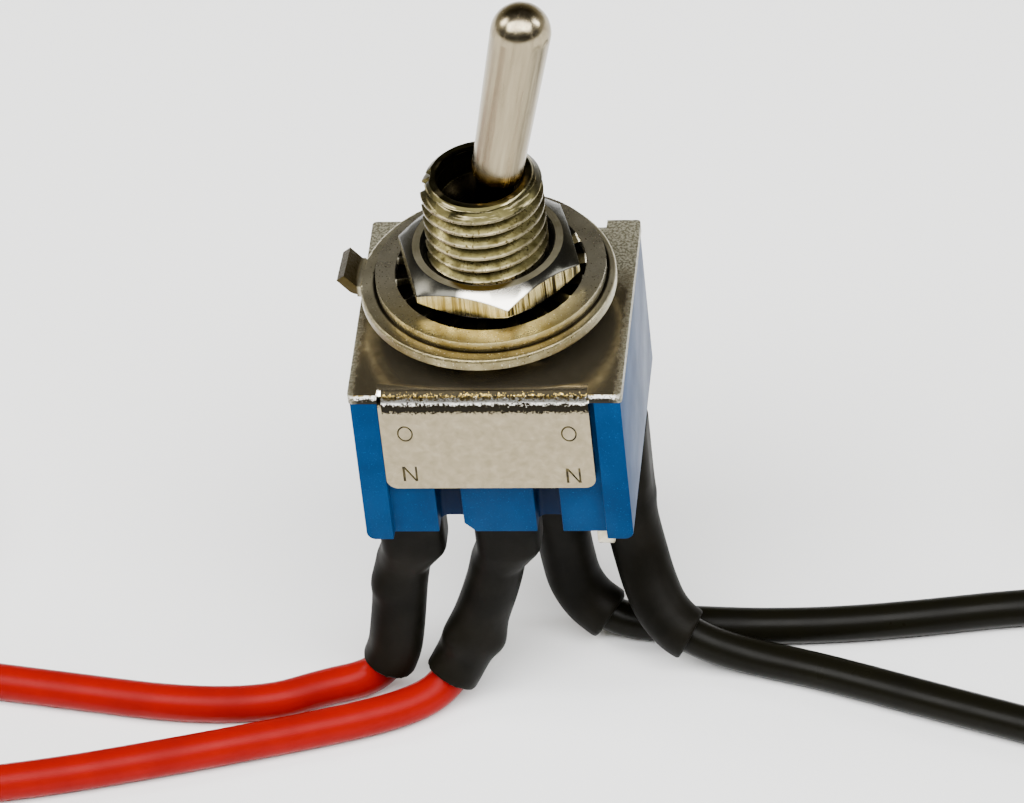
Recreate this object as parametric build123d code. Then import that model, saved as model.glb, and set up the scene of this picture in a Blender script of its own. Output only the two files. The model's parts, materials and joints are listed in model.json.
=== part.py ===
from build123d import *
import math
import os

# Miniature two-pole toggle switch for a panel, with four soldered and sleeved leads.
# Millimetres and degrees. The origin is on the bushing's axis, in the top face of the bracket.
# +Z runs up the bushing, +X is the way the lever leans at rest, and Y runs across the two poles.

# ---- Driving dimensions ----

# Bracket: one sheet, bent down over the front and back of the housing
BRACKET_LENGTH = 13.2
BRACKET_DEPTH = 12.7
SHEET = 0.55
BEND_RADIUS = 0.3
FLANGE_WIDTH = 10.15
FLANGE_SHIFT = -0.12
FLANGE_DROP = 6.05
FLANGE_CORNER = 0.55
BRACKET_CORNER = 0.2
TONGUE_WIDTH = 1.1
TONGUE_DIP = 0.18
TONGUE_REACH = 0.6

# Housing: one moulding, open at the top
HOUSING_LENGTH = 13.04
HOUSING_HEIGHT = 8.9
HOUSING_CORNER = 0.45
HOUSING_FLOOR = 1.55
RECESS_LENGTH = 10.44
CAVITY_LENGTH = 10.8
CAVITY_WIDTH = 7.9
POCKET_WIDTH = 2.2
POCKET_DEPTH = 2.2
CHANNEL_WIDTH = 1.26
CHANNEL_DEPTH = 1.2
CHANNEL_OFFSET = 2.4
CHANNEL_CORNER = 0.35
CHANNEL_ROOF = 1.2
PAD_CORNER = 0.55

# Bushing: one die casting with a rectangular base under the bracket
THREAD_DIAMETER = 5.9
RIM_WIDTH = 0.32
RIM_DROP = 0.5
BUSHING_HEIGHT = 8.45
BORE_DIAMETER = 4.3
BORE_DEPTH = 1.58
THROAT_DIAMETER = 3.0
FLARE_DIAMETER = 5.2
FLARE_HEIGHT = 2.6
BASE_LENGTH = 11.6
BASE_WIDTH = 8.6
BASE_THICKNESS = 0.9
KEYWAY_WIDTH = 0.9
KEYWAY_DEPTH = 0.55

# Lever: turned, with a ball that turns in the bushing
PIVOT_HEIGHT = 4.8
LEVER_TILT = 12.28
TIP_REACH = 12.69
TIP_DIAMETER = 2.9
SHANK_DIAMETER = 2.5
SHANK_START = 4.3
SHOULDER_HEIGHT = 0.7
NECK_DIAMETER = 1.9
BALL_DIAMETER = 4.0
TAIL_DIAMETER = 1.8

# Actuator block on the lever's tail, with a sprung plunger for each pole
BLOCK_TOP = 6.9
BLOCK_HEIGHT = 3.3
BLOCK_LENGTH = 2.6
BLOCK_WIDTH = 7.4
BLOCK_CORNER = 0.3
SOCKET_DEPTH = 2.6
POLE_OFFSET = 2.4
PLUNGER_DIAMETER = 1.36
PLUNGER_LENGTH = 2.1
PLUNGER_NOSE = 0.66
PLUNGER_STAND_OUT = 0.8
SPRING_WIRE = 0.2
SPRING_TURNS = 3.5
BORE_ROOF = 0.5

# Rocking contacts, each on the rounded top of its middle terminal
ROCKER_LENGTH = 9.8
ROCKER_WIDTH = 1.8
ROCKER_SHEET = 0.35
ROCKER_RISE = 13.6
ROCKER_TILT = 7.0
SADDLE_WIDTH = 1.5

# Terminals: flat lugs with a rounded top and a hole for the wire
TERMINAL_PITCH = 4.7
TERMINAL_THICKNESS = 0.8
TERMINAL_WIDTH = 2.0
LUG_LENGTH = 3.35
LUG_HOLE = 1.2
LUG_HOLE_HEIGHT = 1.6
LUG_CORNER = 0.6

# Hardware on the bushing, from the bracket upwards
NUT_FLATS = 8.0
LOWER_NUT_HEIGHT = 1.45
UPPER_NUT_HEIGHT = 1.65
NUT_CHAMFER_DIAMETER = 7.3
NUT_CHAMFER_ANGLE = 32.0
NUT_BORE_CHAMFER = 0.3
LOWER_NUT_TURN = 8.0
UPPER_NUT_TURN = 46.5
RING_DIAMETER = 12.4
RING_THICKNESS = 0.65
RING_EDGE = 0.15
RING_SLIP = 0.2
RING_SHIFT = (-0.15, -0.1)
RING_TURN = -3.0
TAB_WIDTH = 2.1
TAB_THICKNESS = 0.5
TAB_LENGTH = 0.85
TAB_ROOT = 0.1
TAB_RISE = 50.0
WASHER_DIAMETER = 11.16
WASHER_THICKNESS = 0.52
WASHER_BAND = 0.95
TOOTH_COUNT = 18
TOOTH_TWIST = 30.0
TOOTH_WIDTH = 0.5
TOOTH_THICKNESS = 0.3

# Leads: stranded wire in insulation, soldered to a lug under a shrunk sleeve
LEAD_LENGTH = 150.0
WIRE_DIAMETER = 1.85
CORE_DIAMETER = 0.9
SOLDER_DIAMETER = 0.96
SOLDER_LENGTH = 2.6
SOLDER_BEAD = 0.55
INSULATION_GAP = 0.55
LEAD_OFFSET = 0.65
STRIPPED_LENGTH = 5.0
SLEEVE_WALL = 0.45
SLEEVE_NECK = 1.0
SLEEVE_FLAT = 3.7
REST_LEVEL = -23.35
COIL_RADIUS = 10.6
COIL_PITCH = 1.9
COIL_EXIT = 50.0
TIE_THICKNESS = 0.3
TIE_WIDTH = 1.6
TIE_TURN = 75.0

# Clearances
SLIP = 0.02
RUNNING = 0.04
CONTACT_GAP = 0.03
PLUNGER_GAP = 0.1

# ---- Places worked out from them ----

housing_top = -SHEET
housing_bottom = housing_top - HOUSING_HEIGHT
floor_top = housing_bottom + HOUSING_FLOOR
pocket_top = floor_top + POCKET_DEPTH
base_bottom = housing_top - BASE_THICKNESS
panel_face = BRACKET_DEPTH / 2 - SHEET - SLIP
ring_bottom = LOWER_NUT_HEIGHT
ring_top = ring_bottom + RING_THICKNESS
upper_nut_bottom = ring_top + WASHER_THICKNESS
lug_tip = housing_bottom - LUG_LENGTH
plunger_tip = BLOCK_TOP + BLOCK_HEIGHT + PLUNGER_STAND_OUT
nose_radius = TERMINAL_THICKNESS / 2
saddle_radius = nose_radius + CONTACT_GAP
saddle_height = saddle_radius + ROCKER_SHEET
rocker_axis = PIVOT_HEIGHT - plunger_tip - PLUNGER_GAP - saddle_height
lie = REST_LEVEL + WIRE_DIAMETER / 2
lead_top = lug_tip - INSULATION_GAP
core_offset = TERMINAL_THICKNESS / 2 + CORE_DIAMETER / 2

# Each lead: its terminal's column and row, the side of the lug that it is soldered to, the points
# of its route down from the lug and along the resting surface, the run on which its sleeve ends and
# how far along that run, and the side on which its coil is wound. The last run lies along X, where
# the coil takes over.
LEADS = {
    "front_left": dict(
        column=-1,
        row=-1,
        route=[
            (-5.85, -2.4, -15.6),
            (-6.2, -2.4, -18.2),
            (-6.55, -2.42, -20.3),
            (-7.1, -2.5, -21.6),
            (-8.2, -2.65, lie),
            (-10.2, -3.25, lie),
            (-12.9, -4.45, lie),
            (-17.2, -4.55, lie),
            (-23.0, -3.55, lie),
            (-32.0, -1.95, lie),
            (-43.0, -1.95, lie),
        ],
        sleeve_run=3,
        sleeve_share=0.8,
        coil_side=1,
    ),
    "front_middle": dict(
        column=0,
        row=-1,
        route=[
            (-1.1, -2.4, -15.4),
            (-1.75, -2.42, -17.4),
            (-2.6, -2.55, -19.5),
            (-3.35, -2.8, -21.0),
            (-4.0, -3.25, -22.0),
            (-4.95, -4.05, lie),
            (-6.9, -5.15, lie),
            (-10.4, -6.3, lie),
            (-17.0, -8.1, lie),
            (-24.5, -9.95, lie),
            (-33.5, -11.2, lie),
            (-43.0, -11.2, lie),
        ],
        sleeve_run=4,
        sleeve_share=0.75,
        coil_side=-1,
    ),
    "back_middle": dict(
        column=0,
        row=1,
        route=[
            (1.6, 2.4, -15.6),
            (1.8, 2.4, -18.4),
            (2.05, 2.2, -20.1),
            (2.75, 1.85, -21.3),
            (3.9, 1.5, -22.05),
            (5.3, 1.38, lie),
            (7.6, 1.3, lie),
            (11.6, 1.05, lie),
            (17.0, 1.3, lie),
            (26.5, 2.8, lie),
            (38.5, 2.8, lie),
        ],
        sleeve_run=4,
        sleeve_share=0.9,
        coil_side=1,
    ),
    "back_right": dict(
        column=1,
        row=1,
        route=[
            (5.15, 2.4, -15.6),
            (5.5, 2.0, -17.6),
            (5.95, 1.1, -19.1),
            (6.55, 0.15, -20.2),
            (7.45, -0.6, -20.95),
            (9.0, -1.0, -21.7),
            (11.0, -1.1, lie),
            (14.6, -2.15, lie),
            (21.0, -4.55, lie),
            (29.5, -7.6, lie),
            (40.5, -7.6, lie),
        ],
        sleeve_run=5,
        sleeve_share=0.4,
        coil_side=-1,
    ),
}


def flipped_pair(piece):
    """The piece and its mirror image across the XZ plane, joined."""
    return piece + mirror(piece, Plane.XZ)


def block(length, width, bottom, top):
    """A box centred on the axis, between two heights."""
    return Pos(0, 0, bottom) * extrude(Rectangle(length, width), top - bottom)


def tilted(piece, angle, height):
    """The piece turned about the Y direction through a point on the axis."""
    return Pos(0, 0, height) * Rot(0, angle, 0) * piece


# ---- Housing and bracket ----


def channel():
    """A core-out in the front face, open at the bottom, with rounded inner corners."""
    plan = Pos(0, CHANNEL_DEPTH / 2) * Rectangle(CHANNEL_WIDTH, CHANNEL_DEPTH)
    inner = plan.vertices().group_by(Axis.Y)[-1]
    shape = fillet(inner, CHANNEL_CORNER)
    return extrude(shape, HOUSING_HEIGHT - CHANNEL_ROOF)


def housing():
    """A block with corner posts, core-outs, a seat for the bushing's base and two contact pockets."""
    body = block(HOUSING_LENGTH, BRACKET_DEPTH - 2 * SLIP, housing_bottom, housing_top)
    lower_ends = body.edges().filter_by(Axis.Y).group_by(Axis.Z)[0]
    body = fillet(lower_ends, HOUSING_CORNER)
    recess = Pos(0, -BRACKET_DEPTH / 2, housing_bottom) * extrude(
        Rectangle(RECESS_LENGTH, 2 * (BRACKET_DEPTH / 2 - panel_face)), HOUSING_HEIGHT
    )
    body -= flipped_pair(recess)
    upper_edges = body.edges().filter_by(Axis.X).group_by(Axis.Z)[-1]
    bent_over = upper_edges.filter_by(lambda edge: abs(edge.length - RECESS_LENGTH) < SLIP)
    body = chamfer(bent_over, BEND_RADIUS + SLIP)
    for side in (-1, 1):
        core_out = Pos(side * CHANNEL_OFFSET, -panel_face, housing_bottom) * channel()
        body -= flipped_pair(core_out)
    pad_corner = Pos(-CHANNEL_OFFSET + CHANNEL_WIDTH / 2, -panel_face + SHEET / 2, housing_bottom)
    body -= pad_corner * Rot(0, 45, 0) * Box(math.sqrt(2) * PAD_CORNER, SHEET, math.sqrt(2) * PAD_CORNER)
    body -= block(BASE_LENGTH + 2 * SLIP, BASE_WIDTH + 2 * SLIP, base_bottom, housing_top)
    body -= block(CAVITY_LENGTH, CAVITY_WIDTH, pocket_top, base_bottom)
    pocket = Pos(0, POLE_OFFSET, floor_top) * extrude(Rectangle(CAVITY_LENGTH, POCKET_WIDTH), POCKET_DEPTH)
    body -= flipped_pair(pocket)
    slot = extrude(Rectangle(TERMINAL_THICKNESS, TERMINAL_WIDTH), HOUSING_FLOOR)
    for column in (-1, 0, 1):
        one_slot = Pos(column * TERMINAL_PITCH, POLE_OFFSET, housing_bottom) * slot
        body -= flipped_pair(one_slot)
    return body


def bushing_hole(clearance):
    """The outline of the threaded bushing with its keyway, for what slides over it."""
    key = Pos(-THREAD_DIAMETER / 2, 0) * Rectangle(2 * KEYWAY_DEPTH - 2 * clearance, KEYWAY_WIDTH - 2 * clearance)
    return Circle(THREAD_DIAMETER / 2 + clearance) - key


def bent_sheet():
    """The U of the bracket: the top and both flanges, with rounded bends."""
    outside = RectangleRounded(BRACKET_DEPTH, 2 * FLANGE_DROP, BEND_RADIUS + SHEET)
    inside = RectangleRounded(BRACKET_DEPTH - 2 * SHEET, 2 * (FLANGE_DROP - SHEET), BEND_RADIUS)
    lower_half = Pos(0, -FLANGE_DROP) * Rectangle(BRACKET_DEPTH, 2 * FLANGE_DROP)
    section = Pos(0, -FLANGE_DROP) * (outside - inside) - Pos(0, -FLANGE_DROP) * lower_half
    return Pos(FLANGE_SHIFT, 0, 0) * extrude(Plane.YZ * section, FLANGE_WIDTH / 2, both=True)


def tongue():
    """A short tongue at a flange's lower edge, folded in under the housing's face."""
    length = SHEET + TONGUE_REACH
    foot = Pos(0, length / 2, SHEET / 2 - TONGUE_DIP) * Box(TONGUE_WIDTH, length, SHEET)
    fold = foot.edges().filter_by(Axis.X).group_by(Axis.Y)[0].sort_by(Axis.Z)[0]
    return fillet(fold, BEND_RADIUS)


def bracket():
    """The bracket, cut for the bushing, with its tongues folded into the housing's core-outs."""
    sheet = bent_sheet()
    lower_corners = sheet.edges().filter_by(Axis.Y).group_by(Axis.Z)[0]
    sheet = fillet(lower_corners, FLANGE_CORNER)
    top = block(BRACKET_LENGTH, BRACKET_DEPTH, -SHEET, 0)
    top = fillet(top.edges().filter_by(Axis.Z), BRACKET_CORNER)
    over_bend = Pos(FLANGE_SHIFT, -BRACKET_DEPTH / 2, -SHEET) * extrude(
        Rectangle(FLANGE_WIDTH, 2 * (BEND_RADIUS + SHEET)), SHEET
    )
    body = top - flipped_pair(over_bend) + sheet
    for side in (-1, 1):
        foot = Pos(side * CHANNEL_OFFSET, -BRACKET_DEPTH / 2, -FLANGE_DROP) * tongue()
        body += flipped_pair(foot)
    return body - Pos(0, 0, -SHEET) * extrude(bushing_hole(SLIP), SHEET)


# ---- Bushing, lever and what the lever drives ----


def bushing():
    """A threaded tube with a spherical seat for the lever's ball, on a rectangular base."""
    seat_radius = BALL_DIAMETER / 2 + RUNNING
    throat = THROAT_DIAMETER / 2
    seat_top = PIVOT_HEIGHT + math.sqrt(seat_radius**2 - throat**2)
    seat_middle = PIVOT_HEIGHT + seat_radius * math.sin(math.radians(25))
    seat_middle_radius = seat_radius * math.cos(math.radians(25))
    flare_top = base_bottom + FLARE_HEIGHT
    wall = Polyline(
        (THREAD_DIAMETER / 2, base_bottom),
        (THREAD_DIAMETER / 2, BUSHING_HEIGHT - RIM_DROP),
        (BORE_DIAMETER / 2 + RIM_WIDTH, BUSHING_HEIGHT),
        (BORE_DIAMETER / 2, BUSHING_HEIGHT),
        (BORE_DIAMETER / 2, BUSHING_HEIGHT - BORE_DEPTH),
        (throat, seat_top),
    )
    seat = ThreePointArc((throat, seat_top), (seat_middle_radius, seat_middle), (seat_radius, PIVOT_HEIGHT))
    below = Polyline(
        (seat_radius, PIVOT_HEIGHT),
        (seat_radius, flare_top),
        (FLARE_DIAMETER / 2, base_bottom),
        (THREAD_DIAMETER / 2, base_bottom),
    )
    tube = revolve(Plane.XZ * make_face([wall, seat, below]), Axis.Z)
    base = block(BASE_LENGTH, BASE_WIDTH, base_bottom, housing_top)
    base -= Pos(0, 0, base_bottom) * extrude(Circle(THREAD_DIAMETER / 2), BASE_THICKNESS)
    keyway = Pos(-THREAD_DIAMETER / 2, 0, -SHEET) * extrude(
        Rectangle(2 * KEYWAY_DEPTH, KEYWAY_WIDTH), BUSHING_HEIGHT + SHEET
    )
    return tube + base - keyway


def lever():
    """The bat, shoulder, neck, ball and tail, turned as one piece and leaning on its stop."""
    tip = TIP_DIAMETER / 2
    neck = NECK_DIAMETER / 2
    tail = TAIL_DIAMETER / 2
    ball = BALL_DIAMETER / 2
    ball_top = math.sqrt(ball**2 - neck**2)
    ball_bottom = -math.sqrt(ball**2 - tail**2)
    tail_end = -(BLOCK_TOP + SOCKET_DEPTH - SLIP)
    shank = SHANK_DIAMETER / 2
    diagonal = math.sqrt(0.5)
    shoulder = SHANK_START - SHOULDER_HEIGHT
    outline = [
        ThreePointArc(
            (0, TIP_REACH + tip), (tip * diagonal, TIP_REACH + tip * diagonal), (tip, TIP_REACH)
        ),
        Line((tip, TIP_REACH), (shank, SHANK_START)),
        EllipticalCenterArc((neck, SHANK_START), shank - neck, SHOULDER_HEIGHT, start_angle=-90, arc_size=90),
        Line((neck, shoulder), (neck, ball_top)),
        ThreePointArc((neck, ball_top), (ball, 0), (tail, ball_bottom)),
        Polyline((tail, ball_bottom), (tail, tail_end), (0, tail_end), (0, TIP_REACH + tip)),
    ]
    turned = revolve(Plane.XZ * make_face(outline), Axis.Z)
    return tilted(turned, LEVER_TILT, PIVOT_HEIGHT)


def actuator_block():
    """A moulded block pressed on the lever's tail, with a bore for each plunger."""
    body = block(BLOCK_LENGTH, BLOCK_WIDTH, -BLOCK_TOP - BLOCK_HEIGHT, -BLOCK_TOP)
    body = fillet(body.edges().filter_by(Axis.Y), BLOCK_CORNER)
    body -= Pos(0, 0, -BLOCK_TOP - SOCKET_DEPTH) * extrude(Circle(TAIL_DIAMETER / 2), SOCKET_DEPTH)
    bore = Pos(0, POLE_OFFSET, -BLOCK_TOP - BLOCK_HEIGHT) * extrude(
        Circle(PLUNGER_DIAMETER / 2 + RUNNING), BLOCK_HEIGHT - BORE_ROOF
    )
    body -= flipped_pair(bore)
    return tilted(body, LEVER_TILT, PIVOT_HEIGHT)


def plunger(row):
    """A contact plunger with a rounded nose."""
    body = Pos(0, 0, -plunger_tip) * extrude(Circle(PLUNGER_DIAMETER / 2), PLUNGER_LENGTH)
    body = fillet(body.edges().group_by(Axis.Z)[0], PLUNGER_NOSE)
    return tilted(Pos(0, row * POLE_OFFSET, 0) * body, LEVER_TILT, PIVOT_HEIGHT)


def spring(row):
    """The coil spring between a plunger and the roof of its bore."""
    mean_radius = PLUNGER_DIAMETER / 2 - SPRING_WIRE
    seat = plunger_tip - PLUNGER_LENGTH
    room = seat - BLOCK_TOP - BORE_ROOF - SPRING_WIRE - 2 * SLIP
    turns = Helix(pitch=room / SPRING_TURNS, height=room, radius=mean_radius)
    section = Plane(turns @ 0, z_dir=turns % 0) * Circle(SPRING_WIRE / 2)
    body = Pos(0, row * POLE_OFFSET, SPRING_WIRE / 2 + SLIP - seat) * sweep(section, turns)
    return tilted(body, LEVER_TILT, PIVOT_HEIGHT)


def rocker(row):
    """A V-shaped contact with a saddle that rocks on the middle terminal."""
    half = ROCKER_LENGTH / 2
    rise = half * math.tan(math.radians(ROCKER_RISE))
    drop = ROCKER_SHEET / math.cos(math.radians(ROCKER_RISE))
    saddle = SADDLE_WIDTH / 2
    under = saddle_height - drop
    outline = Polyline(
        (0, saddle_height),
        (half, saddle_height + rise),
        (half, under + rise),
        (saddle, under + saddle * math.tan(math.radians(ROCKER_RISE))),
        (saddle, 0),
        (-saddle, 0),
        (-saddle, under + saddle * math.tan(math.radians(ROCKER_RISE))),
        (-half, under + rise),
        (-half, saddle_height + rise),
        close=True,
    )
    profile = make_face(outline) - Circle(saddle_radius)
    body = extrude(Plane.XZ * profile, ROCKER_WIDTH / 2, both=True)
    return Pos(0, row * POLE_OFFSET, 0) * tilted(body, -ROCKER_TILT, rocker_axis)


def nose_height(column):
    """The centre of a terminal's rounded top: in the saddle, or just under the lowered rocker arm."""
    if column == 0:
        return rocker_axis
    slope = math.radians(ROCKER_RISE - ROCKER_TILT)
    rise = math.radians(ROCKER_RISE)
    underside = (saddle_height * math.cos(rise) - ROCKER_SHEET) / math.cos(slope)
    arm = underside + TERMINAL_PITCH * math.tan(slope)
    return rocker_axis + arm - (nose_radius + CONTACT_GAP) / math.cos(slope)


def terminal(column, row):
    """A flat terminal: rounded contact top, shank through the floor, and a lug with a wire hole."""
    top = nose_height(column)
    body = Pos(0, 0, lug_tip) * extrude(Rectangle(TERMINAL_THICKNESS, TERMINAL_WIDTH), top - lug_tip)
    tip_corners = body.edges().filter_by(Axis.X).group_by(Axis.Z)[0]
    body = fillet(tip_corners, LUG_CORNER)
    body += Pos(0, 0, top) * Rot(90, 0, 0) * Cylinder(nose_radius, TERMINAL_WIDTH)
    body -= Pos(0, 0, lug_tip + LUG_HOLE_HEIGHT) * Rot(0, 90, 0) * Cylinder(LUG_HOLE / 2, TERMINAL_THICKNESS)
    return Pos(column * TERMINAL_PITCH, row * POLE_OFFSET, 0) * body


# ---- Hardware on the bushing ----


def nut(height, bottom, turn):
    """A hexagon nut with its corners turned off above and below."""
    prism = extrude(RegularPolygon(NUT_FLATS / 2, 6, major_radius=False), height)
    corner = NUT_FLATS / math.sqrt(3)
    flat = NUT_CHAMFER_DIAMETER / 2
    drop = (corner - flat) * math.tan(math.radians(NUT_CHAMFER_ANGLE))
    outline = Polyline(
        (0, 0), (flat, 0), (corner, drop), (corner, height - drop), (flat, height), (0, height), close=True
    )
    turned = revolve(Plane.XZ * make_face(outline), Axis.Z)
    body = Rot(0, 0, turn) * (prism & turned)
    bore = THREAD_DIAMETER / 2 + SLIP
    body -= extrude(Circle(bore), height)
    rims = body.edges().filter_by(GeomType.CIRCLE).filter_by(lambda edge: edge.radius < bore + SLIP)
    body = chamfer(rims, NUT_BORE_CHAMFER)
    return Pos(0, 0, bottom) * body


def locating_ring():
    """A washer keyed to the bushing, with a tab bent up at its rim that locates it in the panel."""
    plate = extrude(Circle(RING_DIAMETER / 2), RING_THICKNESS)
    plate = fillet(plate.edges(), RING_EDGE)
    plate -= extrude(bushing_hole(RING_SLIP), RING_THICKNESS)
    rim = RING_DIAMETER / 2
    root = Pos(-rim, 0, 0) * extrude(Rectangle(2 * TAB_ROOT, TAB_WIDTH), RING_THICKNESS)
    arm = extrude(Pos(-TAB_LENGTH / 2, 0) * Rectangle(TAB_LENGTH, TAB_WIDTH), -TAB_THICKNESS)
    bend = Pos(0, 0, RING_THICKNESS) * Rot(90, 0, 0) * Cylinder(TAB_THICKNESS, TAB_WIDTH)
    wedge = Rot(0, TAB_RISE, 0) * Pos(-TAB_THICKNESS, 0, -TAB_THICKNESS) * Box(
        2 * TAB_THICKNESS, TAB_WIDTH, 2 * TAB_THICKNESS
    )
    below = RING_THICKNESS - TAB_THICKNESS
    quarter = Pos(-TAB_THICKNESS, 0, below + TAB_THICKNESS / 2) * Box(
        2 * TAB_THICKNESS, TAB_WIDTH, TAB_THICKNESS
    )
    elbow = bend & quarter
    elbow -= Pos(0, 0, RING_THICKNESS) * wedge
    tab = Pos(0, 0, RING_THICKNESS) * Rot(0, TAB_RISE, 0) * arm
    tab = Pos(-rim - TAB_ROOT, 0, 0) * (tab + elbow)
    return Pos(*RING_SHIFT, ring_bottom) * Rot(0, 0, RING_TURN) * (plate + root + tab)


def lock_washer():
    """A ring with twisted teeth on its inside, which bite into the nut and the locating ring."""
    outer = WASHER_DIAMETER / 2
    inner = outer - WASHER_BAND
    tip = THREAD_DIAMETER / 2 + 2 * SLIP
    body = extrude(Circle(outer) - Circle(inner), WASHER_THICKNESS)
    length = inner - tip + TOOTH_THICKNESS
    tooth = Pos(tip + length / 2, 0, WASHER_THICKNESS / 2) * Rot(TOOTH_TWIST, 0, 0) * Box(
        length, TOOTH_WIDTH, TOOTH_THICKNESS
    )
    for step in range(TOOTH_COUNT):
        body += Rot(0, 0, (step + 0.5) * 360 / TOOTH_COUNT) * tooth
    return Pos(0, 0, ring_top) * body


# ---- Leads ----


def lead_start(lead):
    """Where a lead's insulation begins, under its lug and beside it."""
    x = lead["column"] * TERMINAL_PITCH + lead["row"] * LEAD_OFFSET
    return Vector(x, lead["row"] * POLE_OFFSET, lead_top)


def route_points(lead):
    return [lead_start(lead)] + [Vector(*point) for point in lead["route"]]


def corner_radii(points):
    """The largest arc that each corner's two runs allow."""
    radii = []
    for before, corner, after in zip(points, points[1:], points[2:]):
        arriving = corner - before
        leaving = after - corner
        half_turn = math.radians(arriving.get_angle(leaving)) / 2
        shorter = min(arriving.length, leaving.length)
        radii.append(0.45 * shorter / math.tan(half_turn))
    return radii


def tube(points, radii, diameter):
    """A round tube along straight runs joined by tangent arcs, and its path."""
    path = FilletPolyline(*points, radius=radii) if radii else Line(*points)
    section = Plane(path @ 0, z_dir=path % 0) * Circle(diameter / 2)
    return sweep(section, path), path


def lead(name):
    """The stretch of a lead from its lug to the start of its coil, and its length."""
    points = route_points(LEADS[name])
    radii = corner_radii(points)
    solid, path = tube(points, radii, WIRE_DIAMETER)
    expected = math.pi * WIRE_DIAMETER**2 / 4 * path.length
    print(f"lead_{name}: length {path.length:.1f}, volume ratio {solid.volume / expected:.4f}")
    print("  radii " + " ".join(f"{radius:.1f}" for radius in radii))
    return solid, path.length


def solder_joint(spec, lead_solid):
    """The lead's stripped core up the lug's face and through its hole, with the solder round it."""
    lug_x = spec["column"] * TERMINAL_PITCH
    foot = Vector(lug_x + spec["row"] * core_offset, spec["row"] * POLE_OFFSET, lead_top)
    shaft = Pos(*foot) * extrude(Circle(CORE_DIAMETER / 2), INSULATION_GAP + LUG_HOLE_HEIGHT)
    radius = SOLDER_DIAMETER / 2
    barrel = extrude(Circle(radius), SOLDER_LENGTH)
    barrel = fillet(barrel.edges(), 0.8 * radius)
    body = shaft + Pos(foot.X, foot.Y, lug_tip + LUG_CORNER) * barrel
    body -= Pos(lug_x, foot.Y, lug_tip) * extrude(Rectangle(TERMINAL_THICKNESS, TERMINAL_WIDTH), LUG_LENGTH)
    bead_tip = Vector(lug_x - spec["row"] * (TERMINAL_THICKNESS / 2 + SOLDER_BEAD), foot.Y)
    bead_height = Vector(0, 0, lug_tip + LUG_HOLE_HEIGHT)
    bead = extrude(
        Plane(bead_tip + bead_height, z_dir=(spec["row"], 0, 0)) * Circle(LUG_HOLE / 2 - SLIP),
        SOLDER_BEAD + TERMINAL_THICKNESS + CORE_DIAMETER / 2,
    )
    rims = bead.edges().filter_by(GeomType.CIRCLE).sort_by_distance(bead_tip + bead_height)
    bead = fillet(rims[0], SOLDER_BEAD / 2)
    return body + bead - lead_solid


def sleeve(name, lead_solid):
    """A shrunk sleeve: flattened over the lug and the solder, then round along the lead."""
    spec = LEADS[name]
    points = route_points(spec)
    radii = corner_radii(points)
    last = spec["sleeve_run"]
    end = points[last] + (points[last + 1] - points[last]) * spec["sleeve_share"]
    heading = (points[1] - points[0]).normalized()
    neck = points[0] + heading * SLEEVE_NECK
    kept = [neck] + points[1 : last + 1] + [end]
    body, _ = tube(kept, radii[:last], WIRE_DIAMETER + 2 * SLEEVE_WALL)
    far_side = -TERMINAL_THICKNESS / 2 - SOLDER_BEAD - SLIP
    near_side = core_offset + SOLDER_DIAMETER / 2 + SLIP
    middle = (far_side + near_side) / 2
    inside_length = near_side - far_side
    inside_width = TERMINAL_WIDTH + 2 * SLIP
    centre_x = spec["column"] * TERMINAL_PITCH + spec["row"] * middle
    centre_y = spec["row"] * POLE_OFFSET
    outline = RectangleRounded(
        inside_length + 2 * SLEEVE_WALL, inside_width + 2 * SLEEVE_WALL, 2 * SLEEVE_WALL
    )
    flat_bottom = housing_bottom - SLIP - SLEEVE_FLAT
    flat = Pos(centre_x, centre_y, flat_bottom) * extrude(outline, SLEEVE_FLAT)
    round_end = Plane(neck, z_dir=heading) * Circle(WIRE_DIAMETER / 2 + SLEEVE_WALL)
    transition = loft([Pos(centre_x, centre_y, flat_bottom) * outline, round_end])
    hollow = Pos(centre_x, centre_y, lug_tip) * extrude(
        Rectangle(inside_length, inside_width), LUG_LENGTH - SLIP
    )
    gap_fill = Pos(*points[0]) * extrude(Circle(WIRE_DIAMETER / 2), INSULATION_GAP)
    return body + flat + transition - hollow - gap_fill - lead_solid


def coil_centre(spec):
    x, y, _ = spec["route"][-1]
    return x, y + spec["coil_side"] * COIL_RADIUS


def coil_turns(tube_length):
    return (LEAD_LENGTH - STRIPPED_LENGTH - tube_length) / (2 * math.pi * COIL_RADIUS)


def coil_height(turns):
    return WIRE_DIAMETER + COIL_PITCH * turns


def coil(spec, turns, tie_solid):
    """The outer shape of the ring that the rest of a lead is wound into."""
    x, y = coil_centre(spec)
    height = coil_height(turns)
    outline = Rectangle(WIRE_DIAMETER, height)
    section = Pos(COIL_RADIUS, height / 2) * chamfer(outline.vertices(), WIRE_DIAMETER / 4)
    ring = revolve(Plane.XZ * section, Axis.Z)
    return Pos(x, y, REST_LEVEL) * ring - tie_solid


def heading_angle(spec):
    """Which way round its coil a lead goes, seen from above: 1 is counterclockwise."""
    outward = 1 if spec["route"][-1][0] > 0 else -1
    return outward * spec["coil_side"]


def on_coil(spec, turn):
    """A point of the wound lead's centre, and its direction, after some part of a turn."""
    x, y = coil_centre(spec)
    way = heading_angle(spec)
    angle = math.radians(-90 * spec["coil_side"] + way * 360 * turn)
    height = lie + COIL_PITCH * turn
    point = Vector(x + COIL_RADIUS * math.cos(angle), y + COIL_RADIUS * math.sin(angle), height)
    direction = Vector(-way * math.sin(angle), way * math.cos(angle), 0)
    return point, direction


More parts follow.
